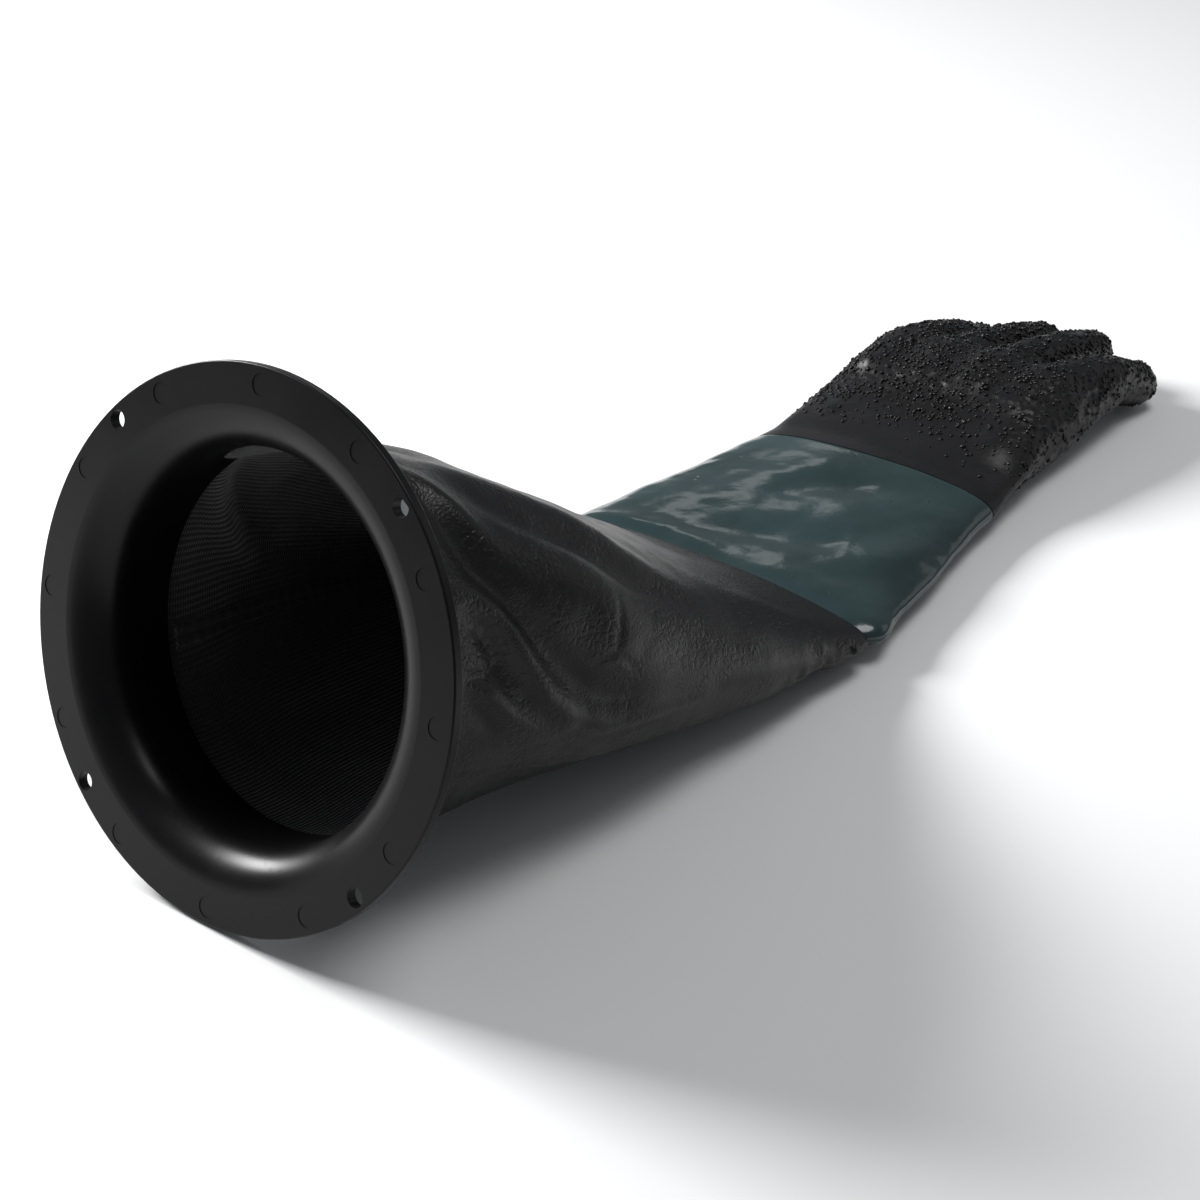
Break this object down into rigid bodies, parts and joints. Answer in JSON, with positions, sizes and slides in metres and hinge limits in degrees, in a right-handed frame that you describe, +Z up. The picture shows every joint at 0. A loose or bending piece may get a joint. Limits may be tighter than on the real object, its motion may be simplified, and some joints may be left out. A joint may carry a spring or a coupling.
{
  "type": "cabinet arm glove",
  "caption": "Long arm glove for a sealed cabinet: a round bolted port flange, a clamped leatherette sleeve, a coated gauntlet and a gritted hand with bending fingers.",
  "frame": {"origin": "on the bench, at the middle of the bounding box's base", "axes": "+Z up, +Y from the port towards the fingertips, +X to the right looking that way"},
  "size_m": [0.24, 0.7384, 0.2313],
  "materials": {
    "black_abs": "satin moulded black ABS",
    "clamp_steel": "brushed stainless",
    "leatherette": "fine-grained coated fabric",
    "knit_backing": "ribbed knit",
    "seam_tape": "folded seam allowance",
    "green_pvc": "glossy dipped PVC",
    "gritted_pvc": "glossy dipped PVC with grit",
    "cotton_liner": "cotton interlock knit"
  },
  "bodies": {
    "port": {"port_flange": "black_abs", "clamp_band": "clamp_steel", "clamp_housing": "clamp_steel", "sleeve_panel_top": "leatherette", "sleeve_panel_bottom": "leatherette", "sleeve_backing": "knit_backing", "sleeve_seam_left": "seam_tape", "sleeve_seam_right": "seam_tape"},
    "clamp_screw": {"clamp_screw": "clamp_steel"},
    "forearm": {"sleeve_end_panel_top": "leatherette", "sleeve_end_panel_bottom": "leatherette", "sleeve_end_backing": "knit_backing", "sleeve_end_seam_left": "seam_tape", "sleeve_end_seam_right": "seam_tape", "gauntlet_coat": "green_pvc", "gauntlet_liner": "cotton_liner"},
    "hand": {"palm_coat": "gritted_pvc", "palm_liner": "cotton_liner"},
    "index_finger": {"index_finger_coat": "gritted_pvc", "index_finger_liner": "cotton_liner"},
    "middle_finger": {"middle_finger_coat": "gritted_pvc", "middle_finger_liner": "cotton_liner"},
    "ring_finger": {"ring_finger_coat": "gritted_pvc", "ring_finger_liner": "cotton_liner"},
    "little_finger": {"little_finger_coat": "gritted_pvc", "little_finger_liner": "cotton_liner"},
    "thumb": {"thumb_coat": "gritted_pvc", "thumb_liner": "cotton_liner"}
  },
  "joints": [
    {"name": "clamp_screw_turn", "type": "hinge", "parent": "port", "child": "clamp_screw", "pos_m": [-0.0896, -0.29852, 0.13943], "axis": [-0.342, -0.2653, -0.9015], "continuous": true},
    {"name": "sleeve_fold", "type": "hinge", "parent": "port", "child": "forearm", "pos_m": [0, -0.09555, 0.039], "axis": [1, 0, 0], "range_deg": [-25, 25], "stiffness_Nm_per_rad": 3},
    {"name": "wrist_fold", "type": "hinge", "parent": "forearm", "child": "hand", "pos_m": [0, 0.14445, 0.0143], "axis": [1, 0, 0], "range_deg": [-35, 35], "stiffness_Nm_per_rad": 1},
    {"name": "index_knuckle", "type": "hinge", "parent": "hand", "child": "index_finger", "pos_m": [-0.054, 0.25845, 0.038], "axis": [1, 0, 0], "range_deg": [-45, 20], "stiffness_Nm_per_rad": 0.06},
    {"name": "middle_knuckle", "type": "hinge", "parent": "hand", "child": "middle_finger", "pos_m": [-0.022, 0.25845, 0.038], "axis": [1, 0, 0], "range_deg": [-45, 20], "stiffness_Nm_per_rad": 0.06},
    {"name": "ring_knuckle", "type": "hinge", "parent": "hand", "child": "ring_finger", "pos_m": [0.01, 0.25845, 0.038], "axis": [1, 0, 0], "range_deg": [-45, 20], "stiffness_Nm_per_rad": 0.06},
    {"name": "little_knuckle", "type": "hinge", "parent": "hand", "child": "little_finger", "pos_m": [0.042, 0.25845, 0.038], "axis": [1, 0, 0], "range_deg": [-45, 20], "stiffness_Nm_per_rad": 0.06},
    {"name": "thumb_swing", "type": "hinge", "parent": "hand", "child": "thumb", "pos_m": [-0.0753, 0.22145, 0.012], "axis": [0, 0, 1], "range_deg": [0, 45], "stiffness_Nm_per_rad": 0.06}
  ]
}
